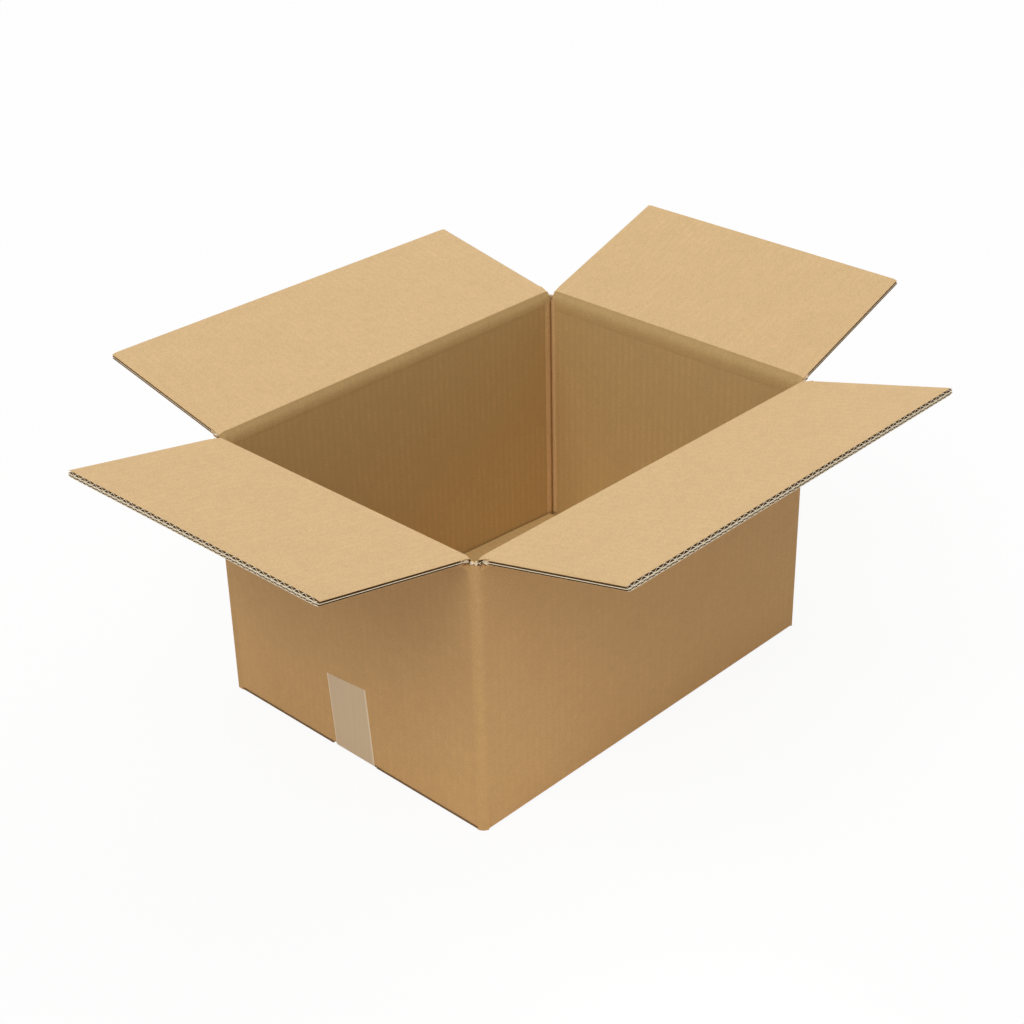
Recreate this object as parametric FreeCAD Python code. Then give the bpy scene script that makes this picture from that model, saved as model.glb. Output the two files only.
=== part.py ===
import FreeCAD, Part
import math
import os

# Open shipping carton of double-wall corrugated board, millimetres, +Z up.
# The origin is the centre of the underside. X runs along the long side.
# The short walls face -X (left) and +X (right), the long walls -Y (front) and +Y (back).

# Driving dimensions of the box
box_length = 438.0          # outside, along X
box_width = 324.0           # outside, along Y
crease_height = 261.5       # floor to the outer line of the top creases
board = 6.0                 # thickness of the double-wall board

# Vertical folds
corner_radius = 9.0         # outside of a folded corner
inner_corner_radius = 1.5   # inside of a folded corner
corner_groove_radius = 1.2  # crushed line down the inside of a folded corner

# Top flaps
flap_length = 154.0         # from the crease to the free edge
short_flap_setback = 7.5    # outer corner to the side edge of a short-wall flap
long_flap_setback = 6.5     # outer corner to the side edge of a long-wall flap
slot_overcut = 1.5          # slots between flaps run this far below the crease line
swing_clearance = 0.3       # free space between a flap and what it swings past
left_flap_rise = 10.9       # degrees above level, opened outward
right_flap_rise = 19.4      # degrees
front_flap_rise = 14.0      # degrees
back_flap_rise = 11.1       # degrees

# Crease of a short-wall flap: the wall is crushed to a thin lip that the flap folds around
lip_axis_inset = 2.0        # hinge axis, inward from the outer face
lip_axis_drop = 3.4         # hinge axis, below the crease line
lip_reach = 2.6             # hinge axis to the root edge of the flap, along the flap
nest_gap = 0.35             # closed short flaps lie this far under closed long flaps

# Crease of a long-wall flap: wall and flap are crushed to a mitre
mitre_axis_offset = 0.3     # hinge axis, outward from the outer face

# Corrugated section of the flaps, one row of flute openings per medium
liner = 0.4                 # each of the three flat liners
medium = 0.4                # wavy paper between them
fine_zone = 1.9             # height of the fine flute, on the outside of the box
fine_pitch = 6.5
coarse_pitch = 8.0          # the coarse flute fills the rest, on the inside of the box
flute_foot = 0.70           # width of an opening at its foot, over the pitch
flute_crown = 0.32          # width of an opening at its crown, over the pitch
edge_margin = 2.0           # solid board beside the first and last flute

# Bottom
bottom_reach = 157.0        # outer face of a wall to the free edge of its bottom flap
bottom_fold_radius = 4.5    # outside of a bottom fold
layer_gap = 0.3             # between the two layers of bottom flaps
corner_foot = 1.0           # cut end of each corner above the floor
short_wall_foot = 1.5       # fold of each short wall above the floor, beside the outer flap's end
fold_crush_depth = 4.0      # dip of the inner flap beside its fold
fold_crush_run = 8.0        # length of that dip along the flap
right_spring_up = 3.0       # degrees that the right inner bottom flap stands up
left_spring_up = 0.0        # degrees

# Glued lap inside the left wall, at the back corner
lap_width = 35.0
lap_thickness = 4.0
lap_end_margin = 1.5        # above the inner bottom flap and below a closed top flap
lap_taper = 10.0            # each end of the lap is shorter by this at its free edge
seam_step = 1.0             # the left wall ends this far short of the back face
seam_radius = 3.0           # fold of the back wall beside the seam

# Packing tape
tape_width = 50.0
tape_thickness = 0.15
tape_centre_y = -2.0
tape_left_height = 79.5
tape_right_height = 76.0
tape_left_lean = 4.6        # degrees from upright, top towards the back
tape_right_lean = 0.0       # degrees
tape_bend_radius = 4.6      # outer surface of the tape where it turns up the wall

# Worked out from the driving dimensions
half_length = box_length / 2
half_width = box_width / 2
coarse_zone = board - 3 * liner - fine_zone
inner_layer_bottom = board + layer_gap
inner_layer_top = inner_layer_bottom + board
lip_root_height = board + nest_gap - lip_axis_drop
closed_short_depth = 2 * board + nest_gap

UP = FreeCAD.Vector(0, 0, 1)


class Side:
    """One side of the box: which way it faces and how its points are placed."""

    def __init__(self, facing_x, facing_y):
        self.out = FreeCAD.Vector(facing_x, facing_y, 0)
        self.along = UP.cross(self.out)
        self.reach = abs(facing_x) * half_length + abs(facing_y) * half_width
        self.span = abs(facing_x) * box_width + abs(facing_y) * box_length

    def point(self, along, inward, height):
        """A point by its place along the wall, inward of the outer face, and height."""
        return self.along * along + self.out * (self.reach - inward) + UP * height

    def prism(self, profile, half_span):
        """Extrudes a profile of (inward, height) points along the wall, both ways from its middle."""
        corners = [self.point(-half_span, inward, height) for inward, height in profile]
        return polygon_prism(corners, self.along * (2 * half_span))


left_side = Side(-1, 0)
right_side = Side(1, 0)
front_side = Side(0, -1)
back_side = Side(0, 1)


def polygon_prism(corners, sweep):
    """A solid from a closed polygon of points, swept along a vector."""
    wire = Part.makePolygon(corners + [corners[0]])
    return Part.Face(wire).extrude(sweep)


def block(low, high):
    """A box between two opposite corners."""
    size = [high[i] - low[i] for i in range(3)]
    return Part.makeBox(size[0], size[1], size[2], FreeCAD.Vector(*low))


def rounded_tower(length, width, radius, low, high):
    """A tall block with four rounded upright edges."""
    tower = block((-length / 2, -width / 2, low), (length / 2, width / 2, high))
    upright = [edge for edge in tower.Edges if abs(edge.tangentAt(edge.FirstParameter).z) > 0.9]
    return tower.makeFillet(radius, upright)


def wall_ring():
    """Four walls around rounded corners, with a crushed groove down each inside corner."""
    outside = rounded_tower(box_length, box_width, corner_radius, corner_foot, crease_height)
    inner_length = box_length - 2 * board
    inner_width = box_width - 2 * board
    inside = rounded_tower(inner_length, inner_width, inner_corner_radius, 0, crease_height + board)
    ring = outside.cut(inside)
    for sign_x in (-1, 1):
        for sign_y in (-1, 1):
            foot = FreeCAD.Vector(sign_x * inner_length / 2, sign_y * inner_width / 2, 0)
            groove = Part.makeCylinder(corner_groove_radius, crease_height + board, foot, UP)
            ring = ring.cut(groove)
    return ring


def long_wall_mitre(side):
    """What the crushed mitre takes off the top of a long wall."""
    run = 2 * board
    tip = swing_clearance * math.sqrt(2) + mitre_axis_offset
    profile = [
        (-board, crease_height - tip + board),
        (run, crease_height - tip - run),
        (run, crease_height + board),
        (-board, crease_height + board),
    ]
    return side.prism(profile, side.span / 2 - board)


def short_wall_lip(side):
    """What the crushing takes off the top of a short wall, so that a thin lip is left outside."""
    lip = lip_axis_inset + lip_reach - swing_clearance
    root_radius = math.hypot(lip_reach, lip_root_height) - swing_clearance
    lip_top = math.sqrt(root_radius ** 2 - (lip - lip_axis_inset) ** 2) - lip_axis_drop
    crown = math.sqrt(root_radius ** 2 - lip_axis_inset ** 2) - lip_axis_drop
    outer_top = min(crown, -swing_clearance)
    profile = [
        (-board, crease_height + outer_top),
        (lip_axis_inset, crease_height + outer_top),
        (lip, crease_height + lip_top),
        (lip, crease_height - closed_short_depth - swing_clearance),
        (board + 1, crease_height - closed_short_depth - swing_clearance),
        (board + 1, crease_height + board),
        (-board, crease_height + board),
    ]
    return side.prism(profile, side.span / 2 - board)


def corner_slots():
    """The ends of the slots between neighbouring top flaps, cut down into the corners."""
    slots = []
    for sign_x in (-1, 1):
        for sign_y in (-1, 1):
            outer_x = sign_x * (half_length + 1)
            inner_x = sign_x * (half_length - long_flap_setback)
            outer_y = sign_y * (half_width + 1)
            inner_y = sign_y * (half_width - short_flap_setback)
            low = (min(outer_x, inner_x), min(outer_y, inner_y), crease_height - slot_overcut)
            high = (max(outer_x, inner_x), max(outer_y, inner_y), crease_height + board)
            slots.append(block(low, high))
    return slots


def folded_prism(side, profile, fold_centre, half_span):
    """Extrudes a fold profile whose outer corner is an arc around fold_centre."""
    inward, height = fold_centre
    turn = bottom_fold_radius * math.sqrt(0.5)
    start = side.point(-half_span, inward - bottom_fold_radius, height)
    middle = side.point(-half_span, inward - turn, height - turn)
    finish = side.point(-half_span, inward, height - bottom_fold_radius)
    edges = [Part.Arc(start, middle, finish).toShape()]
    path = [finish] + [side.point(-half_span, i, h) for i, h in profile] + [start]
    edges += [Part.makeLine(a, b) for a, b in zip(path, path[1:])]
    return Part.Face(Part.Wire(edges)).extrude(side.along * (2 * half_span))


def outer_bottom_flap(side):
    """A long wall's foot and its bottom flap, the outer layer."""
    wall_top = 2 * inner_layer_top
    profile = [
        (bottom_reach, 0),
        (bottom_reach, board),
        (board, board),
        (board, wall_top),
        (0, wall_top),
    ]
    centre = (bottom_fold_radius, bottom_fold_radius)
    return folded_prism(side, profile, centre, side.span / 2 - long_flap_setback)


def inner_bottom_flap(side, spring_up):
    """A short wall's foot and its bottom flap, the inner layer, standing up by spring_up degrees."""
    wall_top = 2 * inner_layer_top
    dip_end = board + fold_crush_run
    rise = (bottom_reach - dip_end) * math.tan(math.radians(spring_up))
    profile = [
        (board, short_wall_foot),
        (board, inner_layer_bottom),
        (dip_end, inner_layer_bottom),
        (bottom_reach, inner_layer_bottom + rise),
        (bottom_reach, inner_layer_top + rise),
        (dip_end, inner_layer_top),
        (board, inner_layer_top - fold_crush_depth),
        (board, wall_top),
        (0, wall_top),
    ]
    centre = (bottom_fold_radius, short_wall_foot + bottom_fold_radius)
    return folded_prism(side, profile, centre, side.span / 2 - short_flap_setback)


def short_wall_foot_relief(side):
    """The space under a short wall, between its corners, where its fold and the outer flaps go."""
    top = short_wall_foot + bottom_fold_radius
    profile = [(-1, 0), (board + 1, 0), (board + 1, top), (-1, top)]
    return side.prism(profile, side.span / 2 - short_flap_setback)


def long_wall_foot_relief(side):
    """The space under a long wall, between its corners, where its fold goes."""
    top = bottom_fold_radius
    profile = [(-1, 0), (board + 1, 0), (board + 1, top), (-1, top)]
    return side.prism(profile, side.span / 2 - long_flap_setback)


def glued_lap():
    """The lap that carries on from the back wall and is glued inside the left wall."""
    face_x = -half_length + board
    fold_y = half_width - board
    free_y = fold_y - lap_width
    low = inner_layer_top + lap_end_margin
    high = crease_height - closed_short_depth - swing_clearance - lap_end_margin
    corners = [
        FreeCAD.Vector(face_x, fold_y, low),
        FreeCAD.Vector(face_x, free_y, low + lap_taper),
        FreeCAD.Vector(face_x, free_y, high - lap_taper),
        FreeCAD.Vector(face_x, fold_y, high),
    ]
    return polygon_prism(corners, FreeCAD.Vector(lap_thickness, 0, 0))


def seam_corner_block():
    """Squares off the left back corner, where the left wall's cut end meets the back wall."""
    low = (-half_length, half_width - corner_radius, corner_foot)
    high = (-half_length + corner_radius, half_width, crease_height - slot_overcut)
    square = block(low, high)
    inner = (-half_length + board, half_width - board)
    hollow = block((inner[0], low[1] - 1, 0), (high[0] + 1, inner[1], crease_height))
    return square.cut(hollow)


def seam_groove():
    """The seam outside the left back corner: a short wall end beside the rounded back wall."""
    edge_x = -half_length + board
    step = block(
        (-half_length - 1, half_width - seam_step, 0),
        (edge_x, half_width + 1, crease_height),
    )
    square = block(
        (edge_x, half_width - seam_radius, 0),
        (edge_x + seam_radius, half_width + 1, crease_height),
    )
    foot = FreeCAD.Vector(edge_x + seam_radius, half_width - seam_radius, 0)
    return [step, square.cut(Part.makeCylinder(seam_radius, crease_height, foot, UP))]


def carton_body():
    """Walls, glued lap and folded bottom: one sheet, one solid."""
    body = wall_ring().fuse(seam_corner_block())
    for side in (left_side, right_side):
        body = body.cut(short_wall_lip(side)).cut(short_wall_foot_relief(side))
    for side in (front_side, back_side):
        body = body.cut(long_wall_mitre(side)).cut(long_wall_foot_relief(side))
    for cutter in corner_slots() + seam_groove():
        body = body.cut(cutter)
    body = body.fuse([
        inner_bottom_flap(left_side, left_spring_up),
        inner_bottom_flap(right_side, right_spring_up),
        outer_bottom_flap(front_side),
        outer_bottom_flap(back_side),
        glued_lap(),
    ])
    return body.cut(tape_recess()).removeSplitter()


def flute_row(width, pitch, zone_low, zone_high):
    """Outlines of one row of flute openings, as lists of (across, thickness) points."""
    count = int((width - 2 * edge_margin) / pitch)
    low = zone_low
    high = zone_high - medium
    row = []
    for index in range(count):
        centre = (index - (count - 1) / 2) * pitch
        foot = flute_foot * pitch / 2
        crown = flute_crown * pitch / 2
        row.append([
            (centre - foot, low),
            (centre + foot, low),
            (centre + crown, high),
            (centre - crown, high),
        ])
    return row


def top_flap(side, rise, setback, axis, root, mitred):
    """A top flap of fluted board, opened outward by its rise above level.

    axis is the hinge axis as (inward, height), root the flap's near outer edge from that axis,
    along the flap and through its thickness. The flutes run from the crease to the free edge.
    """
    angle = math.radians(rise)
    outward = side.out * math.cos(angle) + UP * math.sin(angle)
    through = side.out * -math.sin(angle) + UP * math.cos(angle)
    base = side.point(0, axis[0], axis[1])
    width = side.span - 2 * setback

    def place(across, along, thickness):
        return base + side.along * across + outward * (root[0] + along) + through * (root[1] + thickness)

    outlines = [[(-width / 2, 0), (width / 2, 0), (width / 2, board), (-width / 2, board)]]
    outlines += flute_row(width, fine_pitch, liner, liner + fine_zone)
    outlines += flute_row(width, coarse_pitch, board - liner - coarse_zone, board - liner)
    wires = []
    for outline in outlines:
        corners = [place(across, 0, thickness) for across, thickness in outline]
        wires.append(Part.makePolygon(corners + [corners[0]]))
    section = Part.makeFace(wires, "Part::FaceMakerBullseye")
    flap = section.extrude(outward * flap_length)
    if mitred:
        half = width / 2 + 1
        corners = [place(-half, 0, 0), place(-half, -board, 0), place(-half, -board, board + 1)]
        corners.append(place(-half, board + 1, board + 1))
        flap = flap.cut(polygon_prism(corners, side.along * (2 * half)))
    return flap


def short_flap(side, rise):
    """A flap of a short wall: it closes first and lies under the long flaps."""
    axis = (lip_axis_inset, crease_height - lip_axis_drop)
    return top_flap(side, rise, short_flap_setback, axis, (lip_reach, lip_root_height), False)


def long_flap(side, rise):
    """A flap of a long wall: it closes last, on top."""
    axis = (-mitre_axis_offset, crease_height)
    return top_flap(side, rise, long_flap_setback, axis, (0, 0), True)


def tape_end(side, height, lean, thickness):
    """Tape on a short wall: bent up from the floor, then upright with a slight lean."""
    half = tape_width / 2
    slope = math.tan(math.radians(lean)) * side.along.y
    middle = tape_centre_y * side.along.y
    shift = (height - tape_bend_radius) * slope
    slant = half * slope
    corners = [
        side.point(middle - half, 0, tape_bend_radius),
        side.point(middle + half, 0, tape_bend_radius),
        side.point(middle + half + shift, 0, height - slant),
        side.point(middle - half + shift, 0, height + slant),
    ]
    strip = polygon_prism(corners, side.out * thickness)
    centre_inward = tape_bend_radius - thickness
    centre = side.point(middle - half, centre_inward, tape_bend_radius)
    outer = Part.makeCylinder(tape_bend_radius, tape_width, centre, side.along)
    inner = Part.makeCylinder(tape_bend_radius - thickness, tape_width, centre, side.along)
    quarter_profile = [
        (centre_inward, tape_bend_radius),
        (-1, tape_bend_radius),
        (-1, -1),
        (centre_inward, -1),
    ]
    quarter_corners = [side.point(middle - half, i, h) for i, h in quarter_profile]
    quarter = polygon_prism(quarter_corners, side.along * tape_width)
    return strip.fuse(outer.cut(inner).common(quarter))


def tape_sole(thickness):
    """Tape along the seam of the outer bottom flaps."""
    run = half_length + tape_thickness - tape_bend_radius
    low = (-run, tape_centre_y - tape_width / 2, 0)
    high = (run, tape_centre_y + tape_width / 2, thickness)
    return block(low, high)


def tape_recess():
    """The tape is pressed flush into the underside."""
    run = half_length + 1
    low = (-run, tape_centre_y - tape_width / 2, -1)
    high = (run, tape_centre_y + tape_width / 2, tape_thickness)
    return block(low, high)


def bottom_tape():
    """One strip of tape: up the left wall, under the seam and up the right wall."""
    ends = [
        tape_end(left_side, tape_left_height, tape_left_lean, tape_thickness),
        tape_end(right_side, tape_right_height, tape_right_lean, tape_thickness),
    ]
    return tape_sole(tape_thickness).fuse(ends).removeSplitter()


nodes = {
    "carton_body": carton_body(),
    "top_flap_left": short_flap(left_side, left_flap_rise),
    "top_flap_right": short_flap(right_side, right_flap_rise),
    "top_flap_front": long_flap(front_side, front_flap_rise),
    "top_flap_back": long_flap(back_side, back_flap_rise),
    "bottom_tape": bottom_tape(),
}

os.makedirs("parts", exist_ok=True)
for name, shape in nodes.items():
    box = shape.BoundBox
    print(name, "solids", len(shape.Solids), "valid", shape.isValid(), "volume", round(shape.Volume),
          "x", round(box.XMin, 2), round(box.XMax, 2), "y", round(box.YMin, 2), round(box.YMax, 2),
          "z", round(box.ZMin, 2), round(box.ZMax, 2))
    shape.exportStep("parts/" + name + ".step")
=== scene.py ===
"""Open shipping carton of double-wall corrugated board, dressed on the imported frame."""
from __future__ import annotations

import logging
import math
import random
from collections.abc import Callable
from dataclasses import dataclass, field
from enum import Enum

import bpy
from mathutils import Matrix, Vector

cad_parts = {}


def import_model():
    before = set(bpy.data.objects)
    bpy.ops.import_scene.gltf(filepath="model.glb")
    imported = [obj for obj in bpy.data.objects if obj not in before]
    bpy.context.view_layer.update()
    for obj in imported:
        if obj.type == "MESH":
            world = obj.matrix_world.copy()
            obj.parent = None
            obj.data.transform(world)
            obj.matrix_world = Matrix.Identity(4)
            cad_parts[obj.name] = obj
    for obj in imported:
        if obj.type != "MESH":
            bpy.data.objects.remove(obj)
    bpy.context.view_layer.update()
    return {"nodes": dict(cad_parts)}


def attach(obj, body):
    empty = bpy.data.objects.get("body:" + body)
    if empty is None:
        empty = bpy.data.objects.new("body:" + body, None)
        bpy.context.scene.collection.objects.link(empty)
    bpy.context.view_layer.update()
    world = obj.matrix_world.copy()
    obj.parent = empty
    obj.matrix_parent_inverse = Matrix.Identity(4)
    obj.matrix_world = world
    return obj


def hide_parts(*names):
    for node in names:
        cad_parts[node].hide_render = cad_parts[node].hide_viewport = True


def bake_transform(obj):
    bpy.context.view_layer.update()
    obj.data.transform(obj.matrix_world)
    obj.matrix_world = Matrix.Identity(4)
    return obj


LOG = logging.getLogger("carton")
MM = 0.001
SAME_PLACE = 1e-6  # metres within which two places are one
Tree = bpy.types.NodeTree
Socket = bpy.types.NodeSocket


# Helpers for materials


def linear(hex_colour: str) -> tuple[float, float, float, float]:
    """Turns an sRGB hex colour into linear RGBA.

    Args:
        hex_colour: Colour such as "#C9A26D".

    Returns:
        Linear red, green, blue and an alpha of 1.
    """
    channels = [int(hex_colour[i:i + 2], 16) / 255 for i in (1, 3, 5)]
    curve = [c / 12.92 if c <= 0.04045 else ((c + 0.055) / 1.055) ** 2.4 for c in channels]
    return curve[0], curve[1], curve[2], 1.0


def add_node(
    tree: Tree,
    kind: str,
    fields: dict | None = None,
    values: dict | None = None,
    links: dict | None = None,
) -> bpy.types.Node:
    """Adds a node with its settings and links.

    Args:
        tree: Node tree that takes the node.
        kind: Node type, such as "ShaderNodeMath".
        fields: Attributes to set on the node.
        values: Default values by input name or number.
        links: Output sockets by input name or number.

    Returns:
        The new node.
    """
    node = tree.nodes.new(kind)
    for key, value in (fields or {}).items():
        setattr(node, key, value)
    for key, value in (values or {}).items():
        node.inputs[key].default_value = value
    for key, socket in (links or {}).items():
        tree.links.new(socket, node.inputs[key])
    return node


def calculate(tree: Tree, operation: str, *operands: Socket | float) -> Socket:
    """Adds a math node.

    Args:
        tree: Node tree that takes the node.
        operation: What it works out, such as "MULTIPLY".
        *operands: Its inputs in their order, each a number or a socket.

    Returns:
        The result.
    """
    values = {n: each for n, each in enumerate(operands) if isinstance(each, (int, float))}
    links = {n: each for n, each in enumerate(operands) if n not in values}
    return add_node(tree, "ShaderNodeMath", {"operation": operation}, values, links).outputs[0]


def map_range(
    tree: Tree,
    value: Socket,
    source: tuple[float, float] = (0.0, 1.0),
    target: tuple[float, float] = (0.0, 1.0),
    steps: str = "LINEAR",
) -> Socket:
    """Turns one range of a value into another, and holds it at the ends.

    Args:
        tree: Node tree that takes the node.
        value: The value.
        source: Ends of its range.
        target: Ends that they are turned into.
        steps: How it goes from end to end.

    Returns:
        The result.
    """
    ends = {
        "From Min": source[0], "From Max": source[1], "To Min": target[0], "To Max": target[1],
    }
    fields = {"interpolation_type": steps}
    return add_node(tree, "ShaderNodeMapRange", fields, ends, {"Value": value}).outputs["Result"]


def noise(tree: Tree, where: Socket, scale: float, detail: float, roughness: float) -> Socket:
    """Adds soft noise.

    Args:
        tree: Node tree that takes the node.
        where: Coordinates.
        scale: Patches per metre.
        detail: Levels of finer noise.
        roughness: Strength of the finer levels.

    Returns:
        The pattern, about 0.25 to 0.75.
    """
    values = {"Scale": scale, "Detail": detail, "Roughness": roughness}
    return add_node(tree, "ShaderNodeTexNoise", None, values, {"Vector": where}).outputs["Fac"]


def tinted(tree: Tree, colour: str, value: Socket) -> Socket:
    """Makes a plain colour lighter or darker by a pattern."""
    values = {"Color": linear(colour)}
    return add_node(tree, "ShaderNodeHueSaturation", None, values, {"Value": value}).outputs[0]


def mix_colours(tree: Tree, share: Socket, first: Socket, second: Socket | str) -> Socket:
    """Mixes two colours.

    Args:
        tree: Node tree that takes the node.
        share: Share of the second colour.
        first: The first colour.
        second: The second colour, a socket or a hex colour.

    Returns:
        The mixed colour.
    """
    plain = isinstance(second, str)
    node = add_node(
        tree, "ShaderNodeMix", {"data_type": "RGBA"}, {7: linear(second)} if plain else {},
        {"Factor": share, 6: first} | ({} if plain else {7: second}),
    )
    return node.outputs[2]


def new_material(name: str) -> bpy.types.Material:
    """Starts a material with an empty tree."""
    material = bpy.data.materials.new(name)
    material.use_nodes = True
    material.node_tree.nodes.clear()
    return material


@dataclass(frozen=True)
class Touch:
    """How a finish takes the light: strength and depth in millimetres of its relief, and shine."""

    relief: float
    depth: float
    roughness: float
    ior: float

    def finish(self, tree: Tree, colour: Socket, height: Socket) -> None:
        """Ends a material with a bumped shader.

        Args:
            tree: The material's tree.
            colour: Its colour.
            height: Height of its relief.
        """
        bump = add_node(
            tree, "ShaderNodeBump",
            values={"Strength": self.relief, "Distance": self.depth * MM}, links={"Height": height},
        )
        shader = add_node(
            tree, "ShaderNodeBsdfPrincipled",
            values={"Roughness": self.roughness, "IOR": self.ior},
            links={"Base Color": colour, "Normal": bump.outputs["Normal"]},
        )
        add_node(tree, "ShaderNodeOutputMaterial", links={"Surface": shader.outputs["BSDF"]})


# Helpers for meshes


def nothing_selected() -> None:
    """Leaves edit mode and deselects every object."""
    if bpy.context.object and bpy.context.object.mode != "OBJECT":
        bpy.ops.object.mode_set(mode="OBJECT")
    bpy.ops.object.select_all(action="DESELECT")


def make_active(piece: bpy.types.Object) -> None:
    """Selects one object alone and makes it active."""
    nothing_selected()
    piece.select_set(True)
    bpy.context.view_layer.objects.active = piece


def apply_modifier(piece: bpy.types.Object, kind: str, **settings) -> None:
    """Adds a modifier with settings and applies it.

    Args:
        piece: Object that takes the modifier.
        kind: Modifier type, such as "SOLIDIFY".
        **settings: Attributes of the modifier.
    """
    make_active(piece)
    modifier = piece.modifiers.new(kind.title(), kind)
    for key, value in settings.items():
        setattr(modifier, key, value)
    bpy.ops.object.modifier_apply(modifier=modifier.name)


def join_pieces(pieces: list[bpy.types.Object], name: str) -> bpy.types.Object:
    """Joins meshes into the first one.

    Args:
        pieces: Mesh objects to join.
        name: Name of the joined piece.

    Returns:
        The joined object.
    """
    nothing_selected()
    for piece in pieces:
        piece.select_set(True)
    bpy.context.view_layer.objects.active = pieces[0]
    if len(pieces) > 1:
        bpy.ops.object.join()
    joined = bpy.context.object
    joined.name = name
    joined.data.name = name
    return joined


def put_in_place(piece: bpy.types.Object, place: Matrix) -> None:
    """Moves a finished piece by a matrix and keeps the move in its mesh."""
    make_active(piece)
    piece.matrix_world = place
    bpy.ops.object.transform_apply(location=True, rotation=True, scale=True)


def select_edges(wanted: Callable[[Vector], bool]) -> None:
    """Selects the edges of the active mesh whose two ends pass a test, in edit mode."""
    bpy.ops.object.mode_set(mode="EDIT")
    bpy.ops.mesh.select_mode(type="EDGE")
    bpy.ops.mesh.select_all(action="DESELECT")
    bpy.ops.object.mode_set(mode="OBJECT")
    mesh = bpy.context.object.data
    found = [wanted(vertex.co) for vertex in mesh.vertices]
    for vertex in mesh.vertices:
        vertex.select = found[vertex.index]
    for edge in mesh.edges:
        edge.select = all(found[end] for end in edge.vertices)
    bpy.ops.object.mode_set(mode="EDIT")


def extrude_along(path: list[Vector]) -> None:
    """Extrudes the selected edge from point to point of a path in millimetres, in edit mode."""
    for here, there in zip(path, path[1:]):
        bpy.ops.mesh.extrude_region_move(TRANSFORM_OT_translate={"value": (there - here) * MM})


def bisect_at(point: tuple[float, float, float], normal: tuple[float, float, float]) -> None:
    """Cuts the mesh in edit mode along a plane through a point in metres."""
    bpy.ops.mesh.select_all(action="SELECT")
    bpy.ops.mesh.bisect(plane_co=point, plane_no=normal)


# Sizes


@dataclass(frozen=True)
class Carton:
    """Sizes of the carton in millimetres, the same as in the solids."""

    length: float = 438.0
    width: float = 324.0
    crease: float = 261.5
    board: float = 6.0
    flap: float = 154.0
    fine_pitch: float = 6.5
    coarse_pitch: float = 8.0


BOX = Carton()
HALVES = (("X", BOX.length / 2), ("Y", BOX.width / 2))


@dataclass(frozen=True)
class FlapRoot:
    """How a flap starts at its crease, in millimetres.

    `setback` is how far its sides stay inside the ends of the wall. `hinge` is its hinge axis and
    `bend_low` the start of the bend, both inward of the outer face and above the crease. `start`
    is where its board starts, along the flap and through the board from the hinge axis, and
    `bend_high` the end of the bend, measured alike from there. `skin_lead` is how far the inner
    skin runs up the flap, and `skin_foot` the height over the crease where it ends on the wall.
    """

    setback: float
    hinge: tuple[float, float]
    start: tuple[float, float]
    mitred: bool
    skin_lead: float
    skin_foot: float
    bend_low: tuple[float, float]
    bend_high: tuple[float, float]


SHORT_ROOT = FlapRoot(
    7.5, (2.0, -3.4), (2.6, 2.95), False, 3.0, -14.0, (6.0, -12.65), (0.0, BOX.board)
)
LONG_ROOT = FlapRoot(6.5, (-0.3, 0.0), (0.0, 0.0), True, 7.5, -9.0, (6.0, -7.0), (6.0, BOX.board))


class Side(Enum):
    """The four sides.

    Each has its name, its turn about the upright axis in degrees, the distance of its wall from
    the centre and the width of its wall.
    """

    FRONT = ("front", 0.0, BOX.width / 2, BOX.length)
    RIGHT = ("right", 90.0, BOX.length / 2, BOX.width)
    BACK = ("back", 180.0, BOX.width / 2, BOX.length)
    LEFT = ("left", -90.0, BOX.length / 2, BOX.width)

    @property
    def label(self) -> str:
        """The side's name."""
        return self.value[0]

    @property
    def turn(self) -> Matrix:
        """Turns a piece that was modelled facing front to this side."""
        return Matrix.Rotation(math.radians(self.value[1]), 4, "Z")

    @property
    def reach(self) -> float:
        """Millimetres from the centre to the outer face."""
        return self.value[2]

    @property
    def span(self) -> float:
        """Width of the wall in millimetres."""
        return self.value[3]

    @property
    def long_wall(self) -> bool:
        """Whether this is one of the two long walls."""
        return self in (Side.FRONT, Side.BACK)

    @property
    def root(self) -> FlapRoot:
        """How this side's flap starts at its crease."""
        return LONG_ROOT if self.long_wall else SHORT_ROOT

    def place(self, inward: float, height: float, along: float = 0.0) -> Vector:
        """A point in metres by its millimetres inward of the outer face, height and along."""
        return self.turn @ (Vector((along, inward - self.reach, height)) * MM)


# Finishes


class FluteRun(Enum):
    """Which way the washboard marks of the flutes change across a panel."""

    ACROSS_X = "x"
    ACROSS_Y = "y"
    WALLS = "walls"


@dataclass(frozen=True)
class Patches:
    """Soft lighter and darker patches: size in millimetres, finer levels and strength."""

    size: float
    detail: float
    weight: float


@dataclass(frozen=True)
class Flecks:
    """Scattered bits: spacing in millimetres, middle and rim as shares of it, and strength."""

    spacing: float
    core: float
    rim: float
    weight: float


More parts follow.
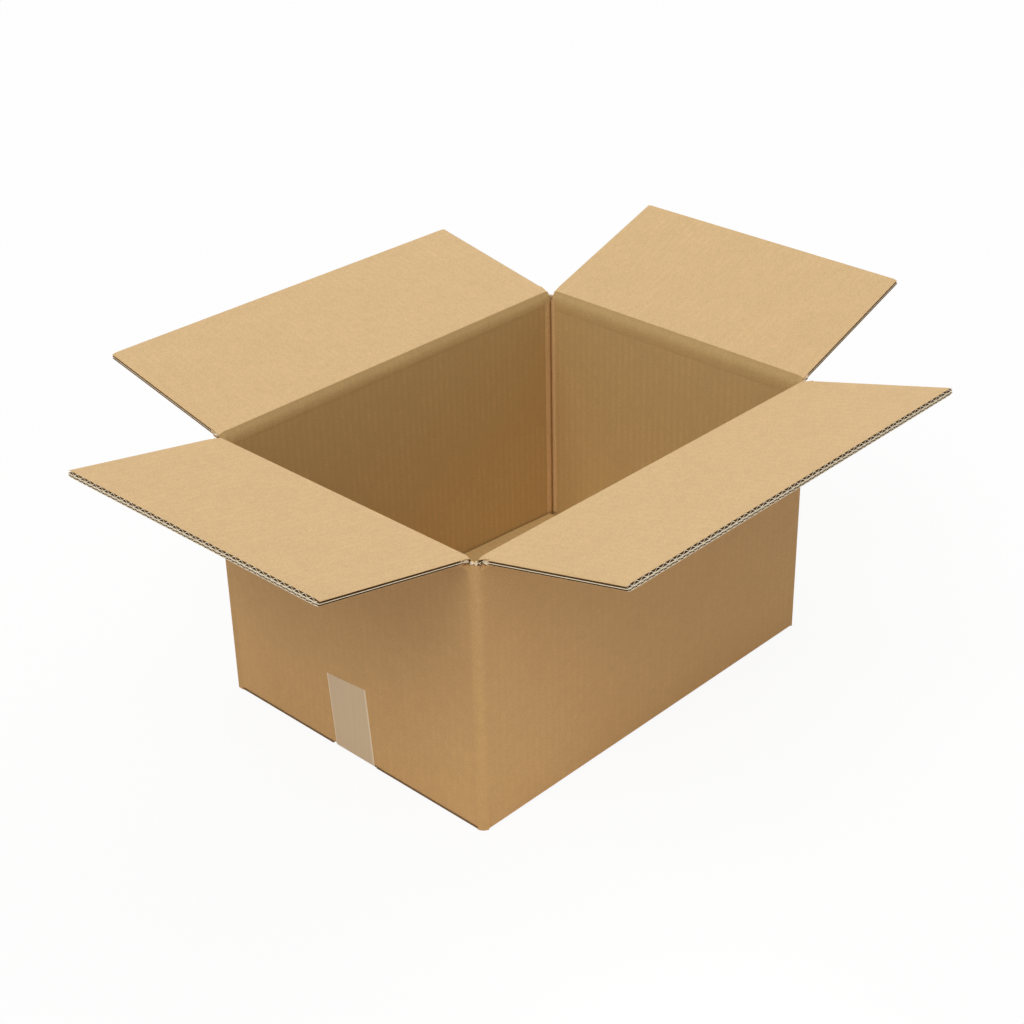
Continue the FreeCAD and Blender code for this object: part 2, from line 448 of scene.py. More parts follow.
@dataclass(frozen=True)
class KraftLiner:
    """Unbleached kraft liner on corrugated board, machine-made paper.

    It gives the eye a warm tan with soft clouds of fibre, tiny dark and pale flecks,
    and the faint washboard of the flutes beneath, as a bump and as painted shade in rows.
    """

    name: str
    colour: str
    run: FluteRun
    pitch: float = BOX.coarse_pitch
    clouds: Patches = Patches(45.0, 4.0, 0.04)
    blotches: Patches = Patches(9.0, 3.0, 0.07)
    # Fibre is a few tenths of a millimetre wide, drawn at 1.5 mm so that it shows.
    fibre: Patches = Patches(1.5, 2.0, 0.22)
    bark: Flecks = Flecks(4.5, 0.07, 0.13, -0.16)
    bleached: Flecks = Flecks(6.5, 0.05, 0.12, 0.12)
    fine_levels: float = 0.55
    # Strength of the washboard's painted shade in the colour
    washboard_shade: float = 0.07
    fibre_height: float = 0.35
    row_height: float = 0.55
    touch: Touch = Touch(0.5, 0.10, 0.72, 1.45)

    def build(self) -> bpy.types.Material:
        """Makes the material.

        Returns:
            The node material.
        """
        material = new_material(self.name)
        tree = material.node_tree
        where = add_node(tree, "ShaderNodeTexCoord").outputs["Object"]
        split = add_node(tree, "ShaderNodeSeparateXYZ", links={0: where})
        clouds, blotches, fibre = (
            self._patches(tree, where, each) for each in (self.clouds, self.blotches, self.fibre)
        )
        wave = self._washboard(tree, self._across(tree, split), blotches)
        shade = self._sum(tree, [
            (clouds, self.clouds.weight),
            (blotches, self.blotches.weight),
            (fibre, self.fibre.weight),
            (self._flecks(tree, where, self.bark), self.bark.weight),
            (self._flecks(tree, where, self.bleached), self.bleached.weight),
        ])
        # Painted shade: rows at the flute pitch darken and lighten the colour, beside the bump
        even = calculate(tree, "SUBTRACT", wave, 0.5)
        rows = calculate(tree, "MULTIPLY", even, calculate(tree, "MULTIPLY", blotches, clouds))
        height = self._sum(tree, [(fibre, self.fibre_height), (wave, self.row_height)], start=0.0)
        self.touch.finish(tree, self._colour(tree, split, rows, shade), height)
        return material

    def _colour(self, tree: Tree, split: bpy.types.Node, rows: Socket, shade: Socket) -> Socket:
        """Colours the liner by its shade and its rows.

        Args:
            tree: The material's tree.
            split: Separate XYZ of the object coordinates.
            rows: Painted shade of the washboard, centred on 0.
            shade: Lighter and darker spots, centred on 1.

        Returns:
            The colour.
        """
        return tinted(
            tree, self.colour, calculate(tree, "MULTIPLY_ADD", rows, self.washboard_shade, shade)
        )

    def _patches(self, tree: Tree, where: Socket, patches: Patches) -> Socket:
        """Soft noise with its contrast drawn out to the range 0 to 1.

        Args:
            tree: The material's tree.
            where: Object coordinates.
            patches: Size and finer levels of the noise.

        Returns:
            The pattern.
        """
        scale = 1 / (patches.size * MM)
        plain = noise(tree, where, scale, patches.detail, self.fine_levels)
        return map_range(tree, plain, (0.25, 0.75))

    @staticmethod
    def _flecks(tree: Tree, where: Socket, flecks: Flecks) -> Socket:
        """Scattered bits of bark or bleached fibre.

        Args:
            tree: The material's tree.
            where: Object coordinates.
            flecks: Their spacing and size.

        Returns:
            1 in a fleck and 0 beside it.
        """
        cells = add_node(
            tree, "ShaderNodeTexVoronoi",
            values={"Scale": 1 / (flecks.spacing * MM), "Randomness": 1.0}, links={"Vector": where},
        )
        return map_range(tree, cells.outputs["Distance"], (flecks.core, flecks.rim), (1.0, 0.0))

    def _across(self, tree: Tree, split: bpy.types.Node) -> Socket:
        """Gives the coordinate that runs across the flutes."""
        return split.outputs["X" if self.run is FluteRun.ACROSS_X else "Y"]

    def _washboard(self, tree: Tree, across: Socket, uneven: Socket) -> Socket:
        """Rows at the flute pitch, from 0 to 1, a little uneven.

        Args:
            tree: The material's tree.
            across: Coordinate across the flutes, in metres.
            uneven: Pattern that shifts the rows a little.

        Returns:
            Height of the rows.
        """
        turn = 2 * math.pi / (self.pitch * MM)
        angle = calculate(tree, "MULTIPLY_ADD", across, turn, uneven)
        return map_range(tree, calculate(tree, "COSINE", angle), (-1.0, 1.0))

    @staticmethod
    def _sum(tree: Tree, parts: list[tuple[Socket, float]], start: float = 1.0) -> Socket:
        """Adds patterns of range 0 to 1, each centred on 0.5 and times its weight.

        Args:
            tree: The material's tree.
            parts: Patterns and their weights.
            start: Value where every pattern is at its middle.

        Returns:
            The sum.
        """
        total = calculate(tree, "ADD", start - sum(weight for _, weight in parts) / 2, 0.0)
        for pattern, weight in parts:
            total = calculate(tree, "MULTIPLY_ADD", pattern, weight, total)
        return total


@dataclass(frozen=True)
class WallLiner(KraftLiner):
    """The same liner on the walls and bottom, whose inner side is paler than the outer side but
    darker than the flaps' inner liner, as painted shade, with stronger painted shade in its
    washboard rows.

    Outside it has painted light and shade: lighter at the foot than at the top, as the floor's light
    and the flaps' shade fall, and painted shade on the upright fold corners.
    """

    run: FluteRun = FluteRun.WALLS
    # Paler than the outer side, and darker than the flaps' inner liner: painted shade inside the box
    inside_colour_with_shade: str = "#CBAB74"
    inside_washboard_shade: float = 0.17
    inside_above: float = 6.15
    inside_depth: float = 4.6
    facing: float = 0.7
    # Painted light and shade on the outer side: lighter at the foot, darker at the top under the
    # flaps
    painted_foot_light: float = 1.07
    painted_top_shade: float = 0.84
    # Painted shade on the upright fold corners, strongest at the foot
    fold_shade_colour: str = "#B88F5A"
    fold_inset: float = 15.0
    fold_overrun: float = 3.0
    fold_shade: float = 0.75
    fold_shade_height: float = 0.8 * BOX.crease

    def _colour(self, tree: Tree, split: bpy.types.Node, rows: Socket, shade: Socket) -> Socket:
        """Colours the inner and outer side of the walls.

        Args:
            tree: The material's tree.
            split: Separate XYZ of the object coordinates.
            rows: Painted shade of the washboard, centred on 0.
            shade: Lighter and darker spots, centred on 1.

        Returns:
            The colour.
        """
        inside = self._inside(tree, split)
        strength = map_range(tree, inside, target=(self.washboard_shade, self.inside_washboard_shade))
        value = calculate(tree, "MULTIPLY_ADD", rows, strength, shade)
        # Painted light and shade: the outer colour goes from lighter at the foot to darker at the
        # top
        painted_light_ends = (self.painted_foot_light, self.painted_top_shade)
        painted_light_and_shade = map_range(tree, split.outputs["Z"], (0.0, BOX.crease * MM), painted_light_ends)
        outer = tinted(tree, self.colour, calculate(tree, "MULTIPLY", value, painted_light_and_shade))
        fold_shaded_colour = self._shade_the_folds(tree, split, outer)
        return mix_colours(tree, inside, fold_shaded_colour, tinted(tree, self.inside_colour_with_shade, value))

    def _inside(self, tree: Tree, split: bpy.types.Node) -> Socket:
        """Finds the inner liner of the walls and bottom.

        Args:
            tree: The material's tree.
            split: Separate XYZ of the object coordinates.

        Returns:
            1 on the inside of the box and 0 outside.
        """
        found = calculate(tree, "GREATER_THAN", split.outputs["Z"], self.inside_above * MM)
        for axis, half in HALVES:
            size = calculate(tree, "ABSOLUTE", split.outputs[axis])
            within = calculate(tree, "LESS_THAN", size, (half - self.inside_depth) * MM)
            found = calculate(tree, "MULTIPLY", found, within)
        return found

    def _across(self, tree: Tree, split: bpy.types.Node) -> Socket:
        """Gives the coordinate that runs across the flutes of the wall that a point is on.

        Args:
            tree: The material's tree.
            split: Separate XYZ of the object coordinates.

        Returns:
            The coordinate in metres.
        """
        normal = add_node(tree, "ShaderNodeNewGeometry").outputs["Normal"]
        facing = add_node(tree, "ShaderNodeSeparateXYZ", links={0: normal}).outputs["X"]
        short = calculate(tree, "GREATER_THAN", calculate(tree, "ABSOLUTE", facing), self.facing)
        mixed = add_node(
            tree, "ShaderNodeMix", {"data_type": "FLOAT"},
            links={"Factor": short, 2: split.outputs["X"], 3: split.outputs["Y"]},
        )
        return mixed.outputs[0]

    def _shade_the_folds(self, tree: Tree, split: bpy.types.Node, colour: Socket) -> Socket:
        """Paints shade on the upright fold corners, more so toward the foot.

        Args:
            tree: The material's tree.
            split: Separate XYZ of the object coordinates.
            colour: Colour of the flat board.

        Returns:
            Colour with painted shade on the fold corners.
        """
        reaches = []
        for axis, half in HALVES:
            size = calculate(tree, "ABSOLUTE", split.outputs[axis])
            ends = ((half - self.fold_inset) * MM, (half + self.fold_overrun) * MM)
            reaches.append(map_range(tree, size, ends, steps="SMOOTHSTEP"))
        heights = (0.0, self.fold_shade_height * MM)
        low = map_range(tree, split.outputs["Z"], heights, (self.fold_shade, 0.0))
        amount = calculate(tree, "MULTIPLY", calculate(tree, "MINIMUM", *reaches), low)
        return mix_colours(tree, amount, colour, self.fold_shade_colour)


@dataclass(frozen=True)
class FluteMedium:
    """Fluting medium, a thin recycled paper, pale and fibrous where it is cut; its plain colour is
    painted darker, as shade inside the board.
    """

    name: str = "fluting_medium_paper_in_painted_shade"
    # Darker than the paper itself: painted shade inside the board
    colour: str = "#8A683F"
    fibre_size: float = 1.2
    detail: float = 3.0
    fine_levels: float = 0.6
    shades: tuple[float, float] = (0.82, 1.12)
    touch: Touch = Touch(0.6, 0.1, 0.85, 1.47)

    def build(self) -> bpy.types.Material:
        """Makes the material.

        Returns:
            The node material.
        """
        material = new_material(self.name)
        tree = material.node_tree
        where = add_node(tree, "ShaderNodeTexCoord").outputs["Object"]
        fibre = noise(tree, where, 1 / (self.fibre_size * MM), self.detail, self.fine_levels)
        shade = map_range(tree, fibre, target=self.shades)
        self.touch.finish(tree, tinted(tree, self.colour, shade), fibre)
        return material


@dataclass(frozen=True)
class PackingTape:
    """Buff polypropylene packing tape, biaxially stretched film over kraft board.

    It gives the eye a paler, greyer tan than the board, a soft sheen and faint streaks along it.
    """

    name: str = "buff_polypropylene_tape"
    colour: str = "#D3B791"
    edge_colour: str = "#EFDABA"
    width: float = 50.0
    centre: float = -2.0
    lean: float = 4.6
    edge_insets: tuple[float, float] = (1.6, 0.9)
    edge_strength: float = 0.8
    streaks: tuple[float, float, float] = (12.0, 420.0, 12.0)
    detail: float = 3.0
    fine_levels: float = 0.6
    shades: tuple[float, float] = (0.93, 1.07)
    touch: Touch = Touch(0.3, 0.08, 0.42, 1.49)

    def build(self) -> bpy.types.Material:
        """Makes the material.

        Returns:
            The node material.
        """
        material = new_material(self.name)
        tree = material.node_tree
        where = add_node(tree, "ShaderNodeTexCoord").outputs["Object"]
        drawn = add_node(
            tree, "ShaderNodeMapping", values={"Scale": self.streaks}, links={"Vector": where},
        )
        streaks = noise(tree, drawn.outputs["Vector"], 1.0, self.detail, self.fine_levels)
        film = tinted(tree, self.colour, map_range(tree, streaks, target=self.shades))
        edged = mix_colours(tree, self._edges(tree, where), film, self.edge_colour)
        self.touch.finish(tree, edged, streaks)
        return material

    def _edges(self, tree: Tree, where: Socket) -> Socket:
        """Finds the cut sides of the tape, which catch the light.

        Args:
            tree: The material's tree.
            where: Object coordinates.

        Returns:
            The strength on the sides and 0 in the middle.
        """
        split = add_node(tree, "ShaderNodeSeparateXYZ", links={0: where})
        left = calculate(tree, "LESS_THAN", split.outputs["X"], 0.0)
        slope = calculate(tree, "MULTIPLY", left, -math.tan(math.radians(self.lean)))
        upright = calculate(tree, "MULTIPLY_ADD", split.outputs["Z"], slope, split.outputs["Y"])
        offset = calculate(tree, "SUBTRACT", upright, self.centre * MM)
        rim = tuple((self.width / 2 - inset) * MM for inset in self.edge_insets)
        size = calculate(tree, "ABSOLUTE", offset)
        return map_range(tree, size, rim, (0.0, self.edge_strength))


class Finishes:
    """Every material of the carton, made once."""

    def __init__(self) -> None:
        """Builds the materials."""
        # The crease bands take the inside walls' darker copy of the inner liner: painted shade
        outer, inner, fold_shaded_colour = "#C79C64", "#DBB885", "#CBAB74"
        along_x, along_y, fine = FluteRun.ACROSS_X, FluteRun.ACROSS_Y, BOX.fine_pitch
        self.walls = WallLiner("kraft_liner_walls", outer).build()
        self.inner_x = KraftLiner("kraft_liner_inner_x", inner, along_x).build()
        self.inner_y = KraftLiner("kraft_liner_inner_y", inner, along_y).build()
        self.shade_band_x = KraftLiner("kraft_liner_shaded_fold_x", fold_shaded_colour, along_x).build()
        self.shade_band_y = KraftLiner("kraft_liner_shaded_fold_y", fold_shaded_colour, along_y).build()
        self.outer_x = KraftLiner("kraft_liner_outer_x", outer, along_x, fine).build()
        self.outer_y = KraftLiner("kraft_liner_outer_y", outer, along_y, fine).build()
        self.medium = FluteMedium().build()
        self.cut_edge = FluteMedium("kraft_cut_edge", "#F6E6C8").build()
        # Painted shadow: dark paper for the strips in the gap under the short walls' folds
        self.painted_shadow_edge = FluteMedium("kraft_painted_shadow_edge", "#7A5A34").build()
        self.tape = PackingTape().build()


# Pieces


@dataclass(frozen=True)
class FlapSet:
    """How a real flap stands off its drawn shape, in millimetres, at its low and high end along."""

    root: tuple[float, float]
    low_corner: tuple[float, float, float]
    high_corner: tuple[float, float, float]

    def shift(self, across: float, out: float) -> Vector:
        """How far a point of the flap is moved.

        Args:
            across: Place along the crease, from -1 at the low end to 1 at the high end.
            out: Place from the crease, 0, to the free edge, 1.

        Returns:
            The move along the crease, outward and through the board.
        """
        share = (across + 1) / 2
        near = Vector((self.root[0] * (1 - share) + self.root[1] * share, 0, 0))
        far = Vector(self.low_corner).lerp(Vector(self.high_corner), share)
        return near.lerp(far, min(1.0, max(0.0, out)))


FLAP_SETS = {
    Side.LEFT: FlapSet((-1.2, -0.6), (-1.2, -0.2, -1.1), (-1.5, -0.8, 1.1)),
    Side.FRONT: FlapSet((-0.4, 0.4), (-0.3, -0.7, -1.3), (3.2, -0.6, 1.8)),
    Side.BACK: FlapSet((-0.3, 0.4), (-2.7, -2.5, -1.5), (-0.3, -2.1, 1.6)),
    Side.RIGHT: FlapSet((-1.2, 0.0), (-0.3, -0.38, -1.0), (-1.6, -0.1, -0.1)),
}
# Where the crease's darker liner starts, painted shade like the inside walls, in millimetres inward
# of the outer face
BAND_START = 2.3
# Where sheets are divided, in millimetres from their sides, from the crease and from the free edge
EDGE_COLUMNS = (0.8, 2.0, 3.5, 5.5, 8.0, 11.0, 15.0)
ROOT_ROWS = (2.0, 5.0, 9.0, 14.0, 20.0)
LAST_ROW = 1.5
# How far the crushed corner beside a slot reaches, from the side and from the crease
SLOT_CRUSH_REACH = (6.0, 9.0)
# Sheets are divided evenly as well: parts of a half span, and of a flap's length
COLUMN_PARTS, ROW_PARTS = 8, 6
# Cosine above which a face counts as square to an axis
SQUARE_ON = 0.9
# Height in millimetres up to which a face is on the underside of the board
UNDERSIDE = 0.01
# Angles in degrees under which a bend is shaded smooth
FLUTE_BEND, SKIN_BEND, RIDGE_BEND = 50, 35, 40
# Material slots of the liners; the last is the medium's darker paper, painted shade inside the board
INNER, OUTER, CUT, MEDIUM_SHADE = range(4)
# A paper flake: its tilt in radians, its stretch along each axis and its raggedness in millimetres
FLAKE_TILT = 0.9
FLAKE_STRETCH = ((0.9, 2.0), (0.5, 1.1), (0.25, 0.6))
FLAKE_RAGGED = 0.22


def slot_crush(from_side: float, from_crease: float) -> float:
    """How strongly the board is crushed beside the end of a slot, from 0 to 1.

    Args:
        from_side: Millimetres from the side edge of the flap.
        from_crease: Millimetres from the crease.

    Returns:
        1 at the corner and 0 away from it.
    """
    near_side = max(0.0, 1 - max(0.0, from_side) / SLOT_CRUSH_REACH[0])
    near_crease = max(0.0, 1 - max(0.0, from_crease) / SLOT_CRUSH_REACH[1])
    return near_side ** 2 * near_crease ** 2


def columns(half: float) -> list[float]:
    """Places across a sheet of a flap where it is divided, closer near its sides."""
    near = [half - step for step in EDGE_COLUMNS]
    even = [half * n / COLUMN_PARTS for n in range(1 - COLUMN_PARTS, COLUMN_PARTS)]
    return [-place for place in near] + even + near


def paper_flake(
    draw: random.Random, at: tuple[float, float, float], size: float
) -> bpy.types.Object:
    """Makes one ragged flake of torn paper.

    Args:
        draw: Source of random draws.
        at: Its middle in millimetres.
        size: How much larger than a millimetre it is.

    Returns:
        The flake.
    """
    nothing_selected()
    bpy.ops.mesh.primitive_ico_sphere_add(
        subdivisions=2, radius=size * MM,
        location=[value * MM for value in at],
        rotation=[draw.uniform(-FLAKE_TILT, FLAKE_TILT) for _ in range(3)],
        scale=[draw.uniform(*ends) for ends in FLAKE_STRETCH],
    )
    flake = bpy.context.object
    bpy.ops.object.transform_apply(location=True, rotation=True, scale=True)
    for vertex in flake.data.vertices:
        ragged = [draw.uniform(-FLAKE_RAGGED, FLAKE_RAGGED) for _ in range(3)]
        vertex.co += Vector(ragged) * MM
    return flake


@dataclass
class TopFlap:
    """A top flap of real board: three liners with two rows of flutes between them.

    The knives that cut the sides crush the board there, and the creasing wheel crushes its root.
    """

    side: Side
    rise: float
    levels: tuple[float, ...] = (0.0, 0.5, 2.1, 3.1, 5.6, 6.0)
    coarse_medium: float = 0.55
    fine_medium: float = 0.45
    steps: int = 10
    side_margin: float = 1.0
    seam: float = 0.02
    swing_cut: float = 0.7
    side_crush: float = 0.32
    side_crush_reach: float = 5.5
    crush_level: float = 3.2
    corner_crush: float = 0.4
    seen_depth: float = 10.0
    torn_flakes: int = 9
    torn_size: float = 1.5
    torn_inset: tuple[float, float] = (0.6, 2.2)
    torn_run: tuple[float, float] = (-0.5, 7.5)
    torn_level: tuple[float, float] = (1.2, 4.6)

    @property
    def root(self) -> tuple[float, float]:
        """Where the board starts: along the flap from its hinge axis, and through the board."""
        return self.side.root.start

    @property
    def width(self) -> float:
        """Width of the flap in millimetres."""
        return self.side.span - 2 * self.side.root.setback

    @property
    def body(self) -> str:
        """Name of the body that the flap rides on."""
        return f"flap_{self.side.label}"

    def place(self) -> Matrix:
        """Where the flap stands, from flat on its own hinge to the side of the box.

        Returns:
            The matrix in metres.
        """
        inward, above = self.side.root.hinge
        hinge = Vector((0, inward - self.side.reach, BOX.crease + above)) * MM
        lift = Matrix.Rotation(-math.radians(self.rise), 4, "X")
        return self.side.turn @ Matrix.Translation(hinge) @ lift

    def _liner_sheet(self, low: float, high: float, start: float) -> bpy.types.Object:
        """One flat liner.

        Args:
            low: Underside of the liner, through the board, in millimetres.
            high: Upper side.
            start: Distance from the hinge axis to its root edge.

        Returns:
            The liner, flat on the hinge axis.
        """
        end = self.root[0] + BOX.flap
        nothing_selected()
        bpy.ops.mesh.primitive_cube_add(
            size=1,
            location=(0, -(start + end) / 2 * MM, (low + high) / 2 * MM),
            scale=(self.width * MM, (end - start) * MM, (high - low) * MM),
        )
        sheet = bpy.context.object
        bpy.ops.object.transform_apply(location=True, rotation=True, scale=True)
        bpy.ops.object.mode_set(mode="EDIT")
        for place in columns(self.width / 2):
            bisect_at((place * MM, 0, 0), (1, 0, 0))
        self._cut_rows(end)
        bpy.ops.object.mode_set(mode="OBJECT")
        return sheet

    def _cut_rows(self, end: float) -> None:
        """Divides a sheet along its length, closer near the crease, in edit mode."""
        places = [self.root[0] + step for step in ROOT_ROWS]
        places += [self.root[0] + BOX.flap * n / ROW_PARTS for n in range(2, ROW_PARTS)]
        places += [end - LAST_ROW]
        for place in places:
            bisect_at((0, -place * MM, 0), (0, 1, 0))

    def _flute_sheet(
        self, zone: tuple[float, float], pitch: float, medium: float, start: float
    ) -> bpy.types.Object:
        """A row of flutes: one flute is drawn out and repeated.

        Args:
            zone: Underside and upper side of the row, through the board, in millimetres.
            pitch: Distance from flute to flute.
            medium: Thickness of the wavy paper.
            start: Distance from the hinge axis to its root edge.

        Returns:
            The wavy sheet, flat on the hinge axis.
        """
        end = self.root[0] + BOX.flap
        count = int((self.width - self.side_margin) / pitch)
        middle = (zone[0] + zone[1]) / 2
        swing = (zone[1] - zone[0] - medium * self.swing_cut) / 2
        left = -count * pitch / 2
        step = pitch / self.steps
        nothing_selected()
        bpy.ops.mesh.primitive_plane_add(
            size=1,
            location=((left + step / 2) * MM, -(start + end) / 2 * MM, middle * MM),
        )
        sheet = bpy.context.object
        sheet.scale = (step * MM, (end - start) * MM, 1)
        bpy.ops.object.transform_apply(location=True, rotation=True, scale=True)
        heights = [
            swing * math.sin(2 * math.pi * number / self.steps) for number in range(self.steps + 1)
        ]
        end_column = (left + step) * MM
        select_edges(lambda place: abs(place.x - end_column) < SAME_PLACE)
        bpy.ops.transform.translate(value=(0, 0, heights[1] * MM))
        for number in range(2, self.steps + 1):
            shift = (step * MM, 0, (heights[number] - heights[number - 1]) * MM)
            bpy.ops.mesh.extrude_region_move(TRANSFORM_OT_translate={"value": shift})
        self._cut_rows(end)
        bpy.ops.object.mode_set(mode="OBJECT")
        apply_modifier(
            sheet, "ARRAY", count=count, use_relative_offset=False, use_constant_offset=True,
            constant_offset_displace=(pitch * MM, 0, 0), use_merge_vertices=True,
            merge_threshold=self.seam * MM,
        )
        apply_modifier(sheet, "SOLIDIFY", thickness=medium * MM, offset=0)
        bpy.ops.object.shade_smooth_by_angle(angle=math.radians(FLUTE_BEND))
        return sheet

    def build(self, finishes: Finishes) -> None:
        """Models, dresses and hangs the flap.

        Args:
            finishes: The carton's materials.
        """
        liners = self._liners(finishes)
        flutes = self._flutes(finishes)
        for piece in (liners, flutes):
            self._settle(piece)
            put_in_place(piece, self.place())
            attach(piece, self.body)
        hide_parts(f"top_flap_{self.side.label}")
        LOG.info("flap %s: %.0f mm wide, %d faces of flutes", self.side.label, self.width,
                 len(flutes.data.polygons))

    def _start(self, high: float) -> float:
        """Distance from the hinge axis to the root edge of a layer that ends at one level."""
        return self.root[0] + (high if self.side.root.mitred else 0.0)

    def _hidden(self, polygon: bpy.types.MeshPolygon) -> bool:
        """Whether a face lies too far from the root to be seen through the slot."""
        return -polygon.center.y / MM > self.root[0] + self.seen_depth

    def _liners(self, finishes: Finishes) -> bpy.types.Object:
        """Builds the three liners and gives each face its paper.

        Args:
            finishes: The carton's materials.

        Returns:
            The liners, flat on the hinge axis.
        """
        base, levels = self.root[1], self.levels
        sheets = [
            self._liner_sheet(base + low, base + high, self._start(high))
            for low, high in zip(levels[::2], levels[1::2])
        ]
        liners = join_pieces(sheets, f"flap_{self.side.label}_liners")
        inner = finishes.inner_x if self.side.long_wall else finishes.inner_y
        outer = finishes.outer_x if self.side.long_wall else finishes.outer_y
        for finish in (inner, outer, finishes.cut_edge, finishes.medium):
            liners.data.materials.append(finish)
        for polygon in liners.data.polygons:
            height = polygon.center.z / MM - base
            if height > levels[-2]:
                polygon.material_index = INNER
            elif abs(polygon.normal.x) > SQUARE_ON and height < levels[1]:
                polygon.material_index = OUTER
            elif abs(polygon.normal.z) < SQUARE_ON:
                polygon.material_index = CUT
            elif height > UNDERSIDE:
                # Faces inside the board, out of sight of the slot, take the medium's darker paper:
                # painted shade
                polygon.material_index = MEDIUM_SHADE if self._hidden(polygon) else INNER
            else:
                polygon.material_index = OUTER
        return liners

    def _flutes(self, finishes: Finishes) -> bpy.types.Object:
        """Builds the two rows of flutes and the torn ends, pale where they are cut.

        Args:
            finishes: The carton's materials.

        Returns:
            The flutes, flat on the hinge axis.
        """
        base, levels = self.root[1], self.levels
        rows = []
        for low, high, pitch, medium in (
            (levels[1], levels[2], BOX.fine_pitch, self.fine_medium),
            (levels[3], levels[4], BOX.coarse_pitch, self.coarse_medium),
        ):
            zone = (base + low, base + high)
            rows.append(self._flute_sheet(zone, pitch, medium, self._start(high)))
        flutes = join_pieces(rows + self._torn_ends(), f"flap_{self.side.label}_flutes")
        for finish in (finishes.medium, finishes.cut_edge):
            flutes.data.materials.append(finish)
        for polygon in flutes.data.polygons:
            # Flutes deep in the board take the medium's darker paper as painted shade; the rest show
            # the pale cut paper
            plain = self._hidden(polygon) and abs(polygon.normal.y) < SQUARE_ON
            polygon.material_index = 0 if plain else 1
        return flutes

    def _torn_ends(self) -> list[bpy.types.Object]:
        """Fills the two slot corners of the root with torn fibres.

        Returns:
            The flakes, flat on the hinge axis.
        """
        draw = random.Random(self.side.label)
        flakes = []
        for sign in (-1, 1):
            for _ in range(self.torn_flakes):
                flakes.append(paper_flake(
                    draw,
                    (
                        sign * (self.width / 2 - draw.uniform(*self.torn_inset)),
                        -self.root[0] - draw.uniform(*self.torn_run),
                        self.root[1] + draw.uniform(*self.torn_level),
                    ),
                    self.torn_size,
                ))
        return flakes

    def _settle(self, piece: bpy.types.Object) -> None:
        """Crushes the cut sides and slot corners, and gives the flap its slight twist.

        Args:
            piece: Liners or flutes of the flap, flat on the hinge axis.
        """
        half = self.width / 2
        bottom = self.root[1]
        middle = bottom + self.crush_level
        shape = FLAP_SETS[self.side]
        for vertex in piece.data.vertices:
            across, out, up = vertex.co.x / MM, -vertex.co.y / MM, vertex.co.z / MM
            from_side = half - abs(across)
            side = self.side_crush * max(0.0, 1 - from_side / self.side_crush_reach) ** 2
            up = middle + (up - middle) * (1 - side)
            corner = self.corner_crush * slot_crush(from_side, out - self.root[0])
            up = bottom + (up - bottom) * (1 - corner)
            move = shape.shift(across / half, (out - self.root[0]) / BOX.flap)
            vertex.co = Vector((across + move.x, -(out + move.y), up + move.z)) * MM


@dataclass
class CreaseSkin:
    """Liner that carries on from a wall to its flap across the crease, on one face of the board."""

    side: Side
    name: str
    half_span: float
    outline: list[tuple[float, float]]
    bend_start: tuple[float, float]
    bend_end: tuple[float, float]
    crushed: bool
    thickness: float = 0.2
    crush_drop: float = 1.8
    crush_from: float = -4.0
    crush_over: float = 9.0

    def build(self, finish: bpy.types.Material, band: bpy.types.Material | None = None) -> None:
        """Draws the skin's outline out along the crease, in the flap's pose.

        Args:
            finish: Material of the liner.
            band: Material inward of where the fold starts, if it has its own.
        """
        reach = self.side.reach
        first, second = self.outline[0], self.outline[1]
        nothing_selected()
        bpy.ops.mesh.primitive_plane_add(size=1, location=(0, 0, 0))
        skin = bpy.context.object
        corners = {
            -1: (first[0] - reach, BOX.crease + first[1]),
            1: (second[0] - reach, BOX.crease + second[1]),
        }
        for vertex in skin.data.vertices:
            across, up = corners[1 if vertex.co.y > 0 else -1]
            vertex.co = Vector((math.copysign(self.half_span, vertex.co.x), across, up)) * MM
        far = Vector(corners[1]) * MM
        select_edges(lambda place: (place.yz - far).length < SAME_PLACE)
        extrude_along([Vector((0, *point)) for point in self.outline[1:]])
        for place in columns(self.half_span):
            bisect_at((place * MM, 0, 0), (1, 0, 0))
        bpy.ops.object.mode_set(mode="OBJECT")
        self._settle(skin)
        apply_modifier(skin, "SOLIDIFY", thickness=self.thickness * MM, offset=-1)
        bpy.ops.object.shade_smooth_by_angle(angle=math.radians(SKIN_BEND))
        skin.name = self.name
        skin.data.name = self.name
        skin.data.materials.append(finish)
        if band:
            skin.data.materials.append(band)
            edge = (BAND_START - self.side.reach) * MM
            for polygon in skin.data.polygons:
                polygon.material_index = int(polygon.center.y > edge)
        put_in_place(skin, self.side.turn)
        start = self.side.place(self.bend_start[0], BOX.crease + self.bend_start[1])
        end = self.side.place(self.bend_end[0], BOX.crease + self.bend_end[1])
        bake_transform(skin)
        LOG.info("crease skin %s: %d faces", self.name, len(skin.data.polygons))

    def _settle(self, skin: bpy.types.Object) -> None:
        """Moves the ends with the flap's own and crushes them at the slots.

        Args:
            skin: The skin, facing front.
        """
        low, high = FLAP_SETS[self.side].root
        for vertex in skin.data.vertices:
            across = vertex.co.x / MM
            share = (across / self.half_span + 1) / 2
            vertex.co.x += (low * (1 - share) + high * share) * MM
            if not self.crushed:
                continue
            out = -(vertex.co.y / MM + self.side.reach)
            above = vertex.co.z / MM - BOX.crease
            reach = min(1.0, max(0.0, (above - self.crush_from) / self.crush_over))
            drop = self.crush_drop * slot_crush(self.half_span - abs(across), out) * reach
            vertex.co.z -= drop * MM


# Light and camera


@dataclass(frozen=True)
class SoftLamp:
    """A large lamp far away: where it hangs, its level and how wide it looks."""

    name: str
    towards: tuple[float, float, float]
    level: float
    angle: float


